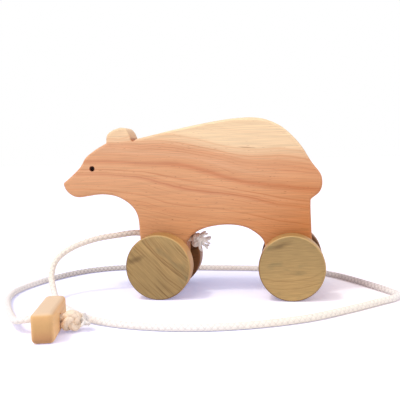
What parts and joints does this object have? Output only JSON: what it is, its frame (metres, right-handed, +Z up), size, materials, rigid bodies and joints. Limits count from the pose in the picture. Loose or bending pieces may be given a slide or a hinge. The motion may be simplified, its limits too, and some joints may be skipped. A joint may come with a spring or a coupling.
{
  "type": "wooden bear pull toy",
  "caption": "Plank-cut wooden bear on disc wheels that turn with their dowel axles, with a knotted pull cord ending in a small block handle.",
  "frame": {"origin": "on the floor under the middle of the bear, halfway from nose to tail and halfway through the plank", "axes": "+Z up; +X from the bear's nose to its tail; +Y across the plank towards the bear's right-hand side, so the pictured side looks to -Y"},
  "size_m": [0.2553, 0.184, 0.1148],
  "materials": {
    "cherry_heartwood": "oiled",
    "olive_brown_hardwood": "oiled",
    "birch_dowel": "bare",
    "pale_handle_wood": "oiled",
    "braided_cotton": "braided"
  },
  "bodies": {
    "bear": {"bear_body": "cherry_heartwood", "pull_cord": "braided_cotton", "leg_knot": "braided_cotton", "handle_knot": "braided_cotton", "pull_handle": "pale_handle_wood"},
    "front_wheelset": {"front_axle": "birch_dowel", "front_left_wheel": "olive_brown_hardwood", "front_right_wheel": "olive_brown_hardwood"},
    "rear_wheelset": {"rear_axle": "birch_dowel", "rear_left_wheel": "olive_brown_hardwood", "rear_right_wheel": "olive_brown_hardwood"}
  },
  "joints": [
    {"name": "front_wheels_roll", "type": "hinge", "parent": "bear", "child": "front_wheelset", "pos_m": [-0.0182, 0, 0.021], "axis": [0, 1, 0], "continuous": true},
    {"name": "rear_wheels_roll", "type": "hinge", "parent": "bear", "child": "rear_wheelset", "pos_m": [0.066, 0, 0.0205], "axis": [0, 1, 0], "continuous": true}
  ]
}
